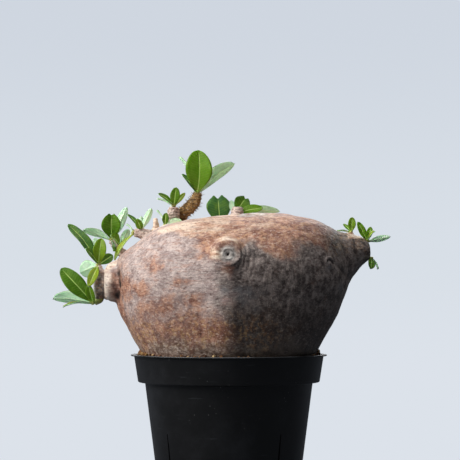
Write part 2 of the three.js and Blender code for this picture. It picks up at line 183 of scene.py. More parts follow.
class Value:
    """A node's output. Sums, products and the calls below add nodes that use it."""

    def __init__(self, socket):
        self.socket = socket

    def put(self, kind, inputs, out=0, **settings):
        """An output of a new shader node in the same tree."""
        node = self.socket.id_data.nodes.new("ShaderNode" + kind)
        for key, value in settings.items():
            setattr(node, key, value)
        connect(node, inputs)
        return Value(node.outputs[out])

    def math(self, operation, *others):
        return self.put("Math", dict(enumerate((self, *others))), operation=operation)

    def __add__(self, other):
        return self.math("ADD", other)

    def __sub__(self, other):
        return self.math("SUBTRACT", other)

    def __mul__(self, other):
        return self.math("MULTIPLY", other)

    def fade(self, start, end):
        """0 where this is at start, 1 at end, and smooth between them."""
        inputs = {"Value": self, "From Min": start, "From Max": end}
        return self.put("MapRange", inputs, "Result", interpolation_type="SMOOTHSTEP")

    def mix(self, one, two):
        """Colour one where this is 0, colour two where it is 1."""
        return self.put("Mix", {0: self, 6: one, 7: two}, 2, data_type="RGBA")

    def toned(self, share, tint):
        """This colour, some share of it multiplied by a tint."""
        inputs = {0: share, 6: self, 7: tint}
        return self.put("Mix", inputs, 2, data_type="RGBA", blend_type="MULTIPLY")

    def ramp(self, tones):
        """A colour that runs through pairs of a place and a colour's code."""
        colour = self.put("ValToRGB", {"Fac": self}, "Color")
        elements = colour.socket.node.color_ramp.elements
        for place, _ in tones[1:-1]:
            elements.new(place)
        for element, (place, tone) in zip(elements, tones):
            element.position = place
            element.color = shade(tone)
        return colour

    def stretched(self, *scale):
        return self.put("Mapping", {"Vector": self, "Scale": scale}, "Vector")

    def noise(self, scale, detail=3.0, rough=0.55, distortion=0.0):
        inputs = {"Vector": self, "Scale": scale, "Detail": detail, "Roughness": rough}
        return self.put("TexNoise", {**inputs, "Distortion": distortion}, "Fac")

    def cells(self, scale, out="Distance", feature="F1"):
        return self.put("TexVoronoi", {"Vector": self, "Scale": scale}, out, feature=feature)

    def rise(self):
        return self.put("SeparateXYZ", {0: self}, "Z")

    def mark(self, name):
        """A mask painted on the piece's mesh."""
        return self.put("Attribute", {}, "Fac", attribute_name=name)


def connect(node, inputs):
    """Sets a node's inputs, each to a Value, a colour's code or a plain value."""
    for key, value in inputs.items():
        if isinstance(value, Value):
            node.id_data.links.new(value.socket, node.inputs[key])
        else:
            node.inputs[key].default_value = shade(value) if isinstance(value, str) else value


def shade(code):
    """A colour from its screen values, as RRGGBB in hexadecimal."""
    values = [int(code[place : place + 2], 16) for place in (0, 2, 4)]
    linear = [((c / 255 + 0.055) / 1.055) ** 2.4 if c > 10 else c / 3294.6 for c in values]
    return (*linear, 1.0)


def new_material(name, **sockets):
    """A material with some of its shader's inputs set, and its object coordinates."""
    material = bpy.data.materials.new(name)
    material.use_nodes = True
    nodes = material.node_tree.nodes
    connect(nodes[SHADER], {key.replace("_", " "): value for key, value in sockets.items()})
    return material, Value(nodes.new("ShaderNodeTexCoord").outputs["Object"])


def finished(material, colour, height, distance, strength, rough=None):
    """The material with its colour, bumps and roughness connected to its shader."""
    bumps = {"Height": height, "Distance": distance, "Strength": strength}
    inputs = {"Base Color": colour, "Normal": height.put("Bump", bumps)}
    if rough:
        inputs["Roughness"] = rough
    connect(material.node_tree.nodes[SHADER], inputs)
    return material


def make_bark_group():
    """Wrinkles, pits and specks of plant skin. Along squeezes the wrinkles into lines."""
    group = bpy.data.node_groups.new("bark_detail", "ShaderNodeTree")
    inputs = {"Vector": "Vector", "Wrinkle Scale": "Float", "Along": "Vector", "Pit Scale": "Float"}
    for name, kind in inputs.items():
        group.interface.new_socket(name=name, in_out="INPUT", socket_type="NodeSocket" + kind)
    for name in ("Height", "Specks"):
        group.interface.new_socket(name=name, in_out="OUTPUT", socket_type="NodeSocketFloat")
    given = group.nodes.new("NodeGroupInput").outputs
    vector, wrinkle_scale, along, pit_scale = (Value(given[name]) for name in inputs)
    lines = vector.put("VectorMath", {0: vector, 1: along}, operation="MULTIPLY")
    pits = vector.cells(pit_scale).fade(0.3, 0.05) * 0.16
    height = lines.noise(wrinkle_scale, 4.0, 0.6, 0.4) - pits
    specks = vector.noise(900.0, 2.0, 0.5).fade(0.62, 0.74)
    connect(group.nodes.new("NodeGroupOutput"), {"Height": height, "Specks": specks})
    return group


BARK_DETAIL = make_bark_group()


def bark_detail(xyz, scale, along, pits):
    """The outputs of the bark group, placed in a material."""
    inputs = {"Vector": xyz, "Wrinkle Scale": scale, "Along": along, "Pit Scale": pits}
    first = xyz.put("Group", inputs, node_tree=BARK_DETAIL)
    return {socket.name: Value(socket) for socket in first.socket.node.outputs}


# ---- the materials ----

# The band of heights along the lip's top that takes a painted highlight.
LIP_HIGHLIGHT_BAND = (97.45 * MM, 97.95 * MM)


def make_pot_plastic():
    """Black plastic with damp and dusty areas, scuffs, specks of soil and a painted highlight along the lip.
    """
    material, xyz = new_material("black_pot_plastic", Specular_IOR_Level=0.36)
    rise = xyz.rise()
    film = xyz.noise(34.0, 6.0, 0.65)
    specks = xyz.cells(330.0).fade(0.16, 0.06) * xyz.noise(60.0, 4.0, 0.6).fade(0.5, 0.66)
    scuffs = xyz.stretched(60.0, 60.0, 900.0).noise(1.0)
    colour = film.fade(0.42, 0.78).mix("0c0c0d", "1f2023")
    colour = (scuffs.fade(0.66, 0.76) * 0.35).mix(colour, "46494e")
    colour = (specks * rise.fade(0.04, 0.085) * 0.7).mix(colour, "787978")
    # Painted highlight: a pale line along the top of the lip, where the rounded edge would catch the
    # window's light.
    lip_highlight = rise.fade(*LIP_HIGHLIGHT_BAND) * film.fade(0.3, 0.6)
    colour = (lip_highlight * 0.6).mix(colour, "707276")
    height = xyz.noise(1500.0, 2.0) * 0.1 + xyz.noise(45.0, 2.0)
    rough = film * 0.24 + 0.3 + specks * 0.3
    return finished(material, colour, height, 0.25 * MM, 0.6, rough)


STONE_TONES = (
    (0.0, "3a2c22"),
    (0.25, "62402a"),
    (0.5, "8e6438"),
    (0.74, "ac8650"),
    (0.92, "ccb68c"),
    (1.0, "8c3c26"),
)
STONES_PER_METRE = 320.0


def stone_colour(tone, fine):
    """Tan, cream, red-brown and dark stones, by a tone from 0 to 1."""
    return tone.ramp(STONE_TONES).toned(0.7, fine.mix("46382c", "fff6e2"))


def make_grit_grain():
    """Loose grains, each in its own tone."""
    material, xyz = new_material("grit_grain", Roughness=0.9)
    fine = xyz.noise(1300.0, 4.0)
    return finished(material, stone_colour(xyz.mark("grain_tone"), fine), fine, 0.25 * MM, 0.8)


def make_grit_bed():
    """Packed stones with painted shade in the gaps between them."""
    material, xyz = new_material("grit_bed", Roughness=0.9)
    stones = xyz.cells(STONES_PER_METRE, "Color")
    tone = stones.put("SeparateColor", {"Color": stones})
    edge = xyz.cells(STONES_PER_METRE, feature="DISTANCE_TO_EDGE")
    fine = xyz.noise(1300.0, 4.0)
    # Painted shade: the gaps between the stones are darkened.
    gap_shade = edge.fade(0.16, 0.0) * 0.85
    colour = gap_shade.mix(stone_colour(tone, fine), "1a1410")
    return finished(material, colour, fine * 0.15 + edge.fade(0.0, 0.4), 0.7 * MM, 0.8)


def make_caudex_skin():
    """Grey-lilac skin over red-brown, with cream and ochre touches, from masks on the mesh; the masks also
    paint shade on the right, low down and in hollows, and highlights on the top, beside the nose and as
    glints.
    """
    material, xyz = new_material("caudex_skin")
    skin = bark_detail(xyz, 330.0, (1.0, 1.0, 2.6), 260.0)["Height"]
    upright = bark_detail(xyz, 300.0, (3.2, 3.2, 0.8), 420.0)["Height"]
    patch = xyz.noise(38.0, 6.0, 0.62)
    small = xyz.noise(170.0, 6.0, 0.7)
    crinkle = xyz.stretched(1.0, 1.0, 1.7).noise(540.0, 4.0, 0.65)
    streak = xyz.stretched(1.0, 1.0, 5.0).noise(110.0, 5.0, 0.6)
    in_slate_and_shade = xyz.mark("slate_and_shade")

    lilac = small.fade(0.38, 0.62).mix("96827d", "c9b8b2")
    lilac = (streak.fade(0.52, 0.68) * 0.7).mix(lilac, "b28a7a")
    rust = small.fade(0.38, 0.64).mix("7c4e3e", "be8f76")
    rusty = xyz.mark("rust") + (patch - 0.6) + (small - 0.5) * 1.6
    colour = rusty.fade(-0.05, 0.75).mix(lilac, rust)

    # Slate grey: partly the skin's own colour and partly painted shade on the right side and low down.
    slate_and_shade = small.fade(0.38, 0.66).mix("4a3f3b", "a2948d")
    slate_and_shade = patch.fade(0.52, 0.66).mix(slate_and_shade, "6e5242")
    slate_and_shade = patch.fade(0.42, 0.32).mix(slate_and_shade, "706c6c")
    # Painted shade: the slate darkens further towards the bottom.
    slate_and_shade = (xyz.rise().fade(0.143, 0.112) * 0.7).mix(slate_and_shade, "3c3028")
    colour = (in_slate_and_shade * 1.1 + (small - 0.6)).fade(0.0, 0.75).mix(colour, slate_and_shade)

    # Cream: partly the skin's own tone, on the collar and the twigs, and partly painted highlight on the top
    # and beside the nose.
    peach_and_highlight = streak.fade(0.4, 0.58).mix("c49a82", "e9d3bc")
    in_peach_and_highlight = xyz.mark("peach_and_highlight") * 1.1 + (small - 0.55)
    colour = in_peach_and_highlight.fade(0.15, 0.85).mix(colour, peach_and_highlight)
    ochre = small.fade(0.4, 0.6).mix("966a48", "cea470")
    flecks = xyz.noise(330.0, 4.0, 0.65).fade(0.46, 0.62)
    colour = (xyz.mark("ochre") * flecks * 0.7).mix(colour, ochre)

    # Painted glints: near-white specks standing in for the shine of fine wrinkles, weaker on the shaded
    # right.
    painted_glint = (in_slate_and_shade * -0.14 + 0.28).mix(colour, "ffeede")
    deep = colour.toned(0.6, "967062")
    colour = crinkle.fade(0.53, 0.64).mix(colour, painted_glint)
    colour = crinkle.fade(0.45, 0.35).mix(colour, deep)

    soil = small.fade(0.4, 0.6).mix("7a6a5e", "c8bcb0")
    soil = (crinkle.fade(0.58, 0.42) * 0.7).mix(soil, "4e3a2a")
    # The soil band turns darker where the slate's painted shade lies.
    soil = in_slate_and_shade.mix(soil, small.mix("544a42", "7e7064"))
    colour = xyz.mark("soil_line").mix(colour, soil)
    callus = small.fade(0.35, 0.65).mix("b2aca6", "e2dcd4")
    colour = xyz.mark("callus").mix(colour, callus)
    # Painted shade: darker where the skin's wrinkles sink.
    colour = (skin.fade(0.42, 0.28) * 0.5).mix(colour, "543a30")
    # Painted shade: the crevice mask darkens grooves, pits and holes.
    colour = xyz.mark("crevice").mix(colour, "2c1e18")
    turned = xyz.mark("upright")
    height = upright * (turned * 0.7) + skin * (turned * -1.0 + 1.0)
    return finished(material, colour, height, 0.9 * MM, 0.75, small * 0.35 + 0.42)


def make_bark(name, dark, light, patches, roughness, scale, bump_height):
    """Skin of a stub or shoot: a dark and a light tone in fine wrinkles, the dark one laid in their hollows
    as painted shade, with patches.
    """
    material, xyz = new_material(name, Roughness=roughness)
    detail = bark_detail(xyz, scale, (1.0, 1.0, 2.0), scale * 1.3)
    # Painted shade: the dark tone follows the wrinkles' hollows.
    colour = detail["Height"].fade(0.25, 0.6).mix(dark, light)
    colour = xyz.noise(210.0, 4.0).fade(0.5, 0.66).mix(colour, patches)
    colour = (detail["Specks"] * 0.5).mix(colour, "e8dcc8")
    # Painted shade in the crevices.
    colour = xyz.mark("crevice").mix(colour, "2e2018")
    colour = xyz.mark("callus").mix(colour, "e2d4c2")
    return finished(material, colour, detail["Height"], bump_height, 0.8)


LEAF_TONES = (
    (0.0, "3c683e"),
    (0.3, "446a0e"),
    (0.6, "648e1a"),
    (1.0, "949a24"),
)


def make_leaf():
    """Deep green above, pale underneath, partly its own tone and partly painted light through the blade,
    with a light midrib and fine side veins.
    """
    glow = {"Subsurface_Weight": 0.4, "Subsurface_Radius": (0.9, 1.4, 0.8), "Subsurface_Scale": 1.0 * MM}
    material, xyz = new_material("leaf_blade", Specular_IOR_Level=0.2, **glow)
    material.node_tree.nodes[SHADER].subsurface_method = "BURLEY"
    across = xyz.mark("across_mm").math("ABSOLUTE")
    share = xyz.mark("along_share")
    edge = xyz.mark("edge")
    under = xyz.mark("under")
    cloud = xyz.noise(260.0, 4.0)
    slanted = xyz.mark("along_mm") - across * 0.42
    vein = (slanted * 0.62 + cloud * 0.5).math("PINGPONG", 0.5).fade(0.07, 0.0) * edge.fade(1.0, 0.55)
    midrib = across.fade(0.42, 0.16) * share.fade(1.02, 0.7)

    upper = xyz.mark("tone").ramp(LEAF_TONES)
    upper = (cloud.fade(0.35, 0.75) * 0.55).mix(upper, "70902c")
    upper = (vein * 0.34).mix(upper, "96b860")
    upper = (midrib * 0.8).mix(upper, "b6cc76")
    # The underside's pale tone is raised above its own colour to stand in for light shining through the
    # leaf: painted light.
    underside_with_painted_light = cloud.fade(0.3, 0.7).mix("bee2c2", "d8f0d4")
    underside_with_painted_light = (vein * 0.4).mix(underside_with_painted_light, "96be80")
    underside_with_painted_light = (midrib * 0.7).mix(underside_with_painted_light, "deeac4")
    colour = under.mix(upper, underside_with_painted_light)
    colour = (share.fade(0.2, 0.02) * 0.75).mix(colour, "acbe5c")
    colour = (edge.fade(0.9, 1.0) * 0.6).mix(colour, "708c3c")
    ribs = vein.math("MAXIMUM", midrib) * (under * 2.0 - 1.0)
    height = xyz.noise(1100.0, 3.0) * 0.1 + ribs
    return finished(material, colour, height, 0.16 * MM, 0.4, under * 0.26 + 0.36)


def make_tipped(name, roughness, grain, tones, tip_fade, bumps):
    """A scale or spine in two tones, with a tip of its own colour."""
    material, xyz = new_material(name, Roughness=roughness)
    fine = xyz.noise(*grain)
    colour = xyz.mark("tip").fade(*tip_fade).mix(fine.mix(tones[0], tones[1]), tones[2])
    return finished(material, colour, fine, *bumps)


def make_stage_cloth():
    """A pale sweep: lit floor close to the pot, an even glow further out, and little bounce."""
    material, xyz = new_material("pale_sweep")
    rise = xyz.rise()
    far = xyz.put("VectorMath", {0: xyz}, "Value", operation="LENGTH")
    low_tone = rise.fade(0.0, 0.25).mix("dce2ea", "d8dfe7")
    tone = rise.fade(0.2, 0.85).mix(low_tone, "cfd6e0")
    glow = xyz.put("Emission", {"Color": tone})
    pale = xyz.put("BsdfDiffuse", {"Color": "e2e5e9"})
    dim = xyz.put("BsdfDiffuse", {"Color": "585c62"})
    seen = xyz.put("MixShader", {0: far.fade(0.16, 0.34), 1: pale, 2: glow})
    camera_ray = xyz.put("LightPath", {}, "Is Camera Ray")
    final = xyz.put("MixShader", {0: camera_ray, 1: dim, 2: seen})
    connect(material.node_tree.nodes["Material Output"], {"Surface": final})
    return material


POT_PLASTIC = make_pot_plastic()
GRIT_BED = make_grit_bed()
GRIT_GRAIN = make_grit_grain()
CAUDEX_SKIN = make_caudex_skin()
STUB_TONES = ("967c70", "e0ccc0", "b8988a")
STUB_BARK = make_bark("stub_bark", *STUB_TONES, 0.75, 620.0, 0.4 * MM)
SPINY_TONES = ("4e3824", "ac864e", "705a3e")
SPINY_BARK = make_bark("spiny_bark", *SPINY_TONES, 0.8, 700.0, 0.5 * MM)
SHOOT_TONES = ("60742e", "9ca852", "807c42")
GREEN_SHOOT = make_bark("green_shoot", *SHOOT_TONES, 0.5, 500.0, 0.2 * MM)
LEAF = make_leaf()
BUD_TONES = ("96a846", "ccc478", "704226")
BUD_SCALE = make_tipped("bud_scale", 0.55, (700.0, 3.0), BUD_TONES, (0.45, 0.85), (0.15 * MM, 0.8))
SPINE_TONES = ("543e28", "94764e", "c4b08c")
SPINE = make_tipped("dry_spine", 0.6, (900.0, 2.0), SPINE_TONES, (0.3, 1.0), (0.1 * MM, 0.6))


# ---- the pot ----

POT_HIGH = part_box("nursery_pot")[1]
POT_HEIGHT = POT_HIGH.z
LIP_RADIUS = POT_HIGH.x
BASE_RADIUS = 40.8 * MM
WALL = 1.4 * MM
BAND_BOTTOM = POT_HEIGHT - 17 * MM
BAND_STEP = 4.2 * MM
BAND_TOP_RADIUS = LIP_RADIUS - 2 * MM
LIP_BOTTOM = POT_HEIGHT - 1.1 * MM
WALL_TAPER = 0.13
LEDGE_RISE = 0.3 * MM
SLIT_COUNT = 4
SLIT_HEIGHT = 52 * MM
SLIT_BOTTOM_WIDTH = 2.6 * MM
SLIT_TOP_WIDTH = 0.6 * MM
SLIT_INNER_RADIUS = 30 * MM
SLIT_TURN = math.radians(-5)
POT_STEPS = 144


def wall_radius(height):
    return BASE_RADIUS + WALL_TAPER * height


def pot_profile():
    """The pot's section from its middle, out along the base, up the wall and back inside."""
    band_radius = wall_radius(BAND_BOTTOM) + BAND_STEP
    points = [
        (0, 0),
        (BASE_RADIUS - 4.5 * MM, 0),
        (BASE_RADIUS - 3.6 * MM, 0.5 * MM),
        (BASE_RADIUS - 2.6 * MM, 0.0),
        (BASE_RADIUS, 0),
        (wall_radius(BAND_BOTTOM), BAND_BOTTOM),
        (band_radius, BAND_BOTTOM + LEDGE_RISE),
        (BAND_TOP_RADIUS, LIP_BOTTOM),
        (LIP_RADIUS, LIP_BOTTOM + LEDGE_RISE),
        (LIP_RADIUS, POT_HEIGHT),
        (BAND_TOP_RADIUS - WALL, POT_HEIGHT),
        (band_radius - WALL, BAND_BOTTOM + WALL + LEDGE_RISE),
        (wall_radius(BAND_BOTTOM) - WALL, BAND_BOTTOM + WALL),
        (wall_radius(WALL) - WALL, WALL),
        (0, WALL),
    ]
    radii = {2: 0.4, 4: 1.2, 5: 0.5, 6: 0.7, 7: 0.4, 8: 0.25, 9: 0.3, 10: 0.45, 11: 0.8, 12: 0.8, 13: 1.0}
    return rounded(points, {corner: radius * MM for corner, radius in radii.items()})


def slit_cutter():
    """A tall wedge for each slit, narrow at its top."""
    bm = bmesh.new()
    depth = LIP_RADIUS - SLIT_INNER_RADIUS
    below = 2 * MM
    for i in range(SLIT_COUNT):
        made = bmesh.ops.create_cube(bm, size=1.0)["verts"]
        for vert in made:
            width = SLIT_TOP_WIDTH if vert.co.z > 0 else SLIT_BOTTOM_WIDTH
            vert.co.x *= width
            vert.co.y = -SLIT_INNER_RADIUS - (0.5 - vert.co.y) * depth
            vert.co.z = SLIT_HEIGHT if vert.co.z > 0 else -below
        turn = Matrix.Rotation((i + 0.5) / SLIT_COUNT * 2 * math.pi + SLIT_TURN, 4, "Z")
        bmesh.ops.transform(bm, matrix=turn, verts=made)
    return placed("slit_cutter", as_mesh(bm, "slit_cutter"))


def build_pot():
    cutter = slit_cutter()
    pot = spun(pot_profile(), POT_STEPS)
    bm = applied(pot, "BOOLEAN", operation="DIFFERENCE", solver="EXACT", object=cutter)
    bpy.data.objects.remove(cutter)
    add_piece("pot", bm, POT_PLASTIC, ["nursery_pot"], sharp_angle=34)


# ---- the caudex: places are in millimetres ----

CAUDEX_VOXEL = 1.0 * MM
CAUDEX_MASKS = ("rust", "slate_and_shade", "peach_and_highlight", "ochre", "soil_line", "callus", "crevice", "upright")
NOSE_SCAR = Vector((-0.6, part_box("caudex")[0].y / MM, 157.4))
NOSE_HOLE = NOSE_SCAR + Vector((0.5, 0, -0.1))
STUMP_END = Vector((-81.4, -0.5, 139.8))
STUMP_AXIS = Vector((-0.965, 0.26, 0))
RIGHT_SCAR = Vector((59.0, -40.5, 151.6))
TOP_SCAR = Vector((14.0, -18.0, 181.5))
KNOB_HOLE = Vector((80.5, -14.0, 164.0))
BACK_SCAR = Vector((-25.0, 70.0, 156.5))
SMALL_EYELID = Vector((30.5, -42, 168.5))
SMALL_SCARS = [Vector(place) for place in ((-30, -52, 118), (20, 58, 130), (-52, 30, 128), (60, 26, 150))]
# Each blotch of rust on the front: its x, its z and its size.
RUST_BLOTCHES = ((-43, 151, 4.5), (-27, 141, 3.5), (-52, 137, 5), (-20, 131, 5), (-36, 126, 5), (28, 139, 4))
# The seam between the body and its right knob, as x and z of its two ends.
SEAM_START = Vector((62.0, 153.0))
SEAM_END = Vector((73.0, 144.6))


def refine(bm, centre, radius, cuts):
    """Smaller faces near a place that has fine shapes."""
    near = {vert for vert in bm.verts if (vert.co - centre * MM).length < radius * MM}
    edges = [edge for edge in bm.edges if near.issuperset(edge.verts)]
    bmesh.ops.subdivide_edges(bm, edges=edges, cuts=cuts, use_grid_fill=True)


def ring_scar(distance, hole_distance, size):
    """Height over a round scar: an outer fold, a raised rim, a dish and a dark hole."""
    away = distance / size
    rim = 0.3 * bump(away - 0.8, 0.26)
    inner_rim = 0.12 * bump(away - 0.45, 0.12)
    moat = -0.1 * bump(away - 1.35, 0.2)
    fold = 0.12 * bump(away - 1.8, 0.3)
    hole = -1.8 * bump(hole_distance / size, 0.2)
    return (rim + inner_rim + moat + fold + hole) * size / 3.3


def eyelid(at, offset, size):
    """A low bump under a curved groove, as where a shoot once stood."""
    away = offset.length / size
    above = ease(-0.3, 0.9, offset.z / max(offset.length, 1e-6))
    groove = -0.85 * above * bump(away - 1.0, 0.2)
    lid = 0.5 * above * bump(away - 1.5, 0.3)
    at.height += groove + lid + 0.5 * bump(away, 0.6)
    # Painted shade in the groove.
    at.crevice += 0.8 * bump(away - 1.0, 0.22) * above


def seam_distance(p):
    """How far a point lies from the knob's seam, seen from the front."""
    run = SEAM_END - SEAM_START
    offset = p.xz - SEAM_START
    share = min(1, max(0, offset.dot(run) / run.length_squared))
    return (offset - run * share).length


def plain_skin(p):
    """Lumps, folds and pits, level on the left and top and upright on the right and below."""
    lumps = 0.9 * noise.noise(p / 24) + 0.4 * noise.noise(p / 9.5)
    flat = Vector((p.x / 15, p.y / 15, p.z / 2.3))
    tall = Vector((p.x / 2.6, p.y / 2.6, p.z / 17))
    on_right = 0.85 * ease(-8, 26, p.x) * ease(172, 150, p.z)
    upright = max(on_right, 0.6 * ease(150, 118, p.z))
    level_folds = 0.26 * noise.noise(flat) + 0.12 * noise.noise(flat * 2.1)
    upright_folds = 0.22 * noise.noise(tall) + 0.1 * noise.noise(tall * 2.2)
    folds = level_folds * (1 - upright) + upright_folds * upright
    sparse = ease(0.12, 0.4, noise.noise(p / 17 + Vector((7, 3, 1))))
    pit = ease(0.15, 0.05, noise.voronoi(p / 8)[0][0]) * sparse
    # The crevice mask is painted shade: it darkens the pits and the hollows of the folds.
    crevice = 0.15 * pit + 0.3 * ease(-0.2, -0.4, folds)
    return SimpleNamespace(height=lumps + folds - 0.3 * pit, crevice=crevice, callus=0.0, upright=upright)


def shape_nose(at, p):
    """The ringed scar on the nose, the ripples round it and the folds on its right."""
    offset = p - NOSE_SCAR
    side = offset.xz.length
    if offset.y < 9:
        from_hole = (p - NOSE_HOLE).xz.length
        at.height += ring_scar(side, from_hole, 4.0) - 1.5 * ease(6.0, 3.6, side)
        at.callus = (0.8 + 0.5 * noise.noise(p / 2.4)) * ease(5.4, 3.6, side)
        # Painted shade in the hole and in the groove above it.
        at.crevice = at.crevice * ease(2.5, 4.5, side) + ease(1.2, 0.5, from_hole)
        at.crevice += 0.55 * bump(from_hole - 3.1, 0.5) * ease(0.2, 2.0, offset.z)
    if offset.y < 22:
        turn = math.atan2(offset.z, offset.x)
        ripples = math.cos(side * 2.1 + 0.6 * math.sin(2 * turn))
        at.height += 0.22 * ripples * bump(side - 8, 4) + 1.1 * bump(side - 6.8, 3.4)
        wave = math.sin((offset.x + 0.25 * abs(offset.z) + 1.6 * noise.noise(p / 4.5)) * 2.2)
        beside = ease(4.5, 7, offset.x) * ease(19, 12, offset.x) * bump(offset.z + 2, 10)
        at.height += 0.42 * beside * wave
        # Painted shade in the hollows of the folds.
        at.crevice += 0.6 * beside * ease(-0.3, -0.9, wave)


def shape_scars(at, p):
    # The crevice mask paints shade into each scar's groove, hole or crack below.
    for scar, size in ((RIGHT_SCAR, 2.9), (SMALL_EYELID, 1.8)):
        if (p - scar).length < 4 * size:
            eyelid(at, p - scar, size)
    for scar in SMALL_SCARS:
        away = (p - scar).length
        at.height += ring_scar(away, away, 2.6) if away < 9 else 0
        at.crevice += 0.7 * bump(away, 0.8)
    back = p - BACK_SCAR
    if back.y > -9:
        away = back.xz.length
        at.height += ring_scar(away, away, 3.6)
        at.callus = max(at.callus, ease(4.2, 3.0, away))
        at.crevice += bump(away, 0.9)
    crack = p - TOP_SCAR
    if crack.z > -8:
        away = math.hypot(crack.x / 1.7, crack.y / 1.5)
        at.height += 0.5 * bump(away - 3.6, 1.4) - 1.5 * bump(away, 2.4)
        at.callus = max(at.callus, (0.7 + 0.8 * noise.noise(p / 2.6)) * bump(away - 3.4, 2.0))
        at.crevice += bump(away, 1.7)
    away = (p - KNOB_HOLE).length
    at.height -= 1.2 * bump(away, 1.1)
    at.crevice += bump(away, 1.0)


def shape_body(at, p, front):
    """The crest under the nose, the crease before the collar, and the knob's seam and ring."""
    crest = p.x - (0.5 + 0.06 * (150 - p.z))
    on_crest = front * ease(92, 104, p.z) * ease(150, 138, p.z)
    at.height += on_crest * (0.9 * bump(crest + 3, 8) - 0.7 * bump(crest - 6, 5))
    # Painted shade: the crevice mask darkens the crease before the collar, the neck's groove, the knob's
    # ring and its seam.
    crease = p.x + 66.6 - 0.1 * (p.z - 142) + 0.9 * noise.noise(p / 6)
    beside = ease(153, 145, p.z) * ease(126, 134, p.z) * ease(4, -6, p.y)
    at.height += beside * (1.0 * bump(crease + 4.8, 3.4) - 1.6 * bump(crease, 2.1))
    at.crevice += beside * (0.9 + 1.2 * noise.noise(p / 3)) * bump(crease + 0.2, 1.4)
    at.height += 2.2 * bump(p.x + 67, 8) * bump(p.z - 157, 9)
    neck = bump(p.x + 76.6, 0.9)
    ring = bump(p.x - 76.7 + 0.8 * noise.noise(p / 7), 1.5)
    at.height -= 0.9 * neck + 0.4 * ring
    at.crevice += 0.6 * neck + 0.22 * ring
    if p.y < 2:
        seam = seam_distance(p)
        at.height -= 0.5 * bump(seam, 1.3)
        at.crevice += 0.3 * bump(seam, 1.2)


def shape_stump(at, p, normal):
    """The cut end of the left stump: a raised rim of callus round a dished face."""
    from_end = p - STUMP_END
    depth = from_end.dot(STUMP_AXIS)
    away = (from_end - STUMP_AXIS * depth).length
    if depth > -6 and away < 14:
        face = ease(0.5, 0.9, normal.dot(STUMP_AXIS))
        at.height += face * (-1.4 * ease(7.0, 3.0, away) + 0.3 * math.cos(away * 2.2))
        at.height += 0.5 * (1 - face) * ease(-2.6, -1.2, depth)
        at.callus = max(at.callus, ease(-2.4, -1.2, depth) * ease(4.5, 6.5, away))


def rust_share(p, front, edge, broad, fine):
    """Where the skin is rust-coloured; edge makes every border ragged."""
    from_nose = p - NOSE_SCAR
    top = ease(154, 166, p.z + 0.7 * edge) * ease(-30, -4, p.x + edge)
    low = ease(140, 113, p.z + edge) * ease(26, -6, p.x + edge)
    left = ease(-52, -63, p.x + 0.6 * edge) * ease(154, 142, p.z + 0.4 * edge)
    nose = bump(from_nose.xz.length - 8, 6) * ease(-3, 6, from_nose.x - 0.5 * from_nose.z)
    nose *= from_nose.y < 30
    spots = sum(bump(math.hypot((p.x - x) / 1.5, p.z - z), size) for x, z, size in RUST_BLOTCHES)
    spots *= front * (0.8 + 0.8 * fine)
    stump = 1.2 * bump(p.x + 68.6, 1.9) * ease(150, 145, p.z) * (1 - on_stump(p))
    behind = 0.4 + 0.5 * broad - 0.6 * front
    return min(1, max(0.95 * top, 0.8 * low, 0.9 * left, spots, nose, stump, behind)), top


def on_stump(p):
    return ease(-75.6, -77.4, p.x)


def slate_and_shade_share(p, normal, edge):
    """Where the skin is slate grey, partly its own colour and partly painted shade: the right, away from the
    window, and the lower front.
    """
    dusk = (p.x + 2.5 - 0.1 * (140 - p.z) + 0.9 * edge) / (9 + 0.4 * max(0, 140 - p.z))
    share = ease(-1, 1, dusk) * ease(172, 148, p.z + 0.9 * edge)
    share = max(share, ease(46, 74, p.x + 0.6 * edge), 0.2 * ease(126, 104, p.z))
    return max(share * (1 - ease(0.05, 0.6, normal.y) * 0.5), 0.7 * on_stump(p))


def caudex_relief(point, normal):
    """How far the skin stands out at a point of the plain body, in millimetres, and its masks."""
    p = point / MM
    front = ease(0.2, 0.7, -normal.y)
    at = plain_skin(p)
    shape_nose(at, p)
    shape_scars(at, p)
    shape_body(at, p, front)
    shape_stump(at, p, normal)

    broad, medium, fine = (noise.noise(p / size) for size in (20, 9, 4))
    edge = 12 * broad + 7 * medium + 4 * fine
    rust, rust_top = rust_share(p, front, edge, broad, fine)
    # Painted highlight: upward-facing skin on the left is made cream, where the overhead light falls.
    top = ease(0.62, 0.95, normal.z + 0.12 * medium) * ease(46, 14, p.x + edge)
    ochre = ease(128, 112, p.z + 5 * medium) * ease(99, 104, p.z) * ease(40, 10, p.x)
    washed = 6 * ease(-10, -34, p.x)
    collar = bump(p.x + 73.6, 3.4) * (1 - on_stump(p)) * (1.0 + 0.9 * fine)
    collar = max(collar, bump((p - Vector((-70, -10, 152))).length, 4.5))
    from_nose = p - NOSE_SCAR
    # Painted highlight: a pale patch on the lit left side of the nose's mound.
    glow = 0.9 * bump(math.hypot(from_nose.x + 6, from_nose.z), 4.5) * ease(20, 8, from_nose.y)
    masks = {
        "rust": rust,
        "slate_and_shade": slate_and_shade_share(p, normal, edge),
        "peach_and_highlight": min(1, top * (0.55 + 0.4 * broad) + max(collar, glow)),
        "ochre": max(ochre, 0.5 * rust_top, 0.9 * on_stump(p)),
        "soil_line": 0.75 * ease(108 + washed, 98, p.z + 8 * broad + 6 * medium + 6 * fine),
        "callus": min(1, max(at.callus, 0.45 * collar)),
        "crevice": min(1, max(0, at.crevice)),
        "upright": at.upright,
    }
    return at.height, masks


def is_twig(vert):
    """The buds and the dry twig on the ridge and the knob keep their shape."""
    x, y, z = vert.co / MM
    ridge = -48.5 < x < -37.5 and z > 174.6 + 0.28 * (x + 43)
    knob = x > 72 and z > 168.2
    return ridge or knob


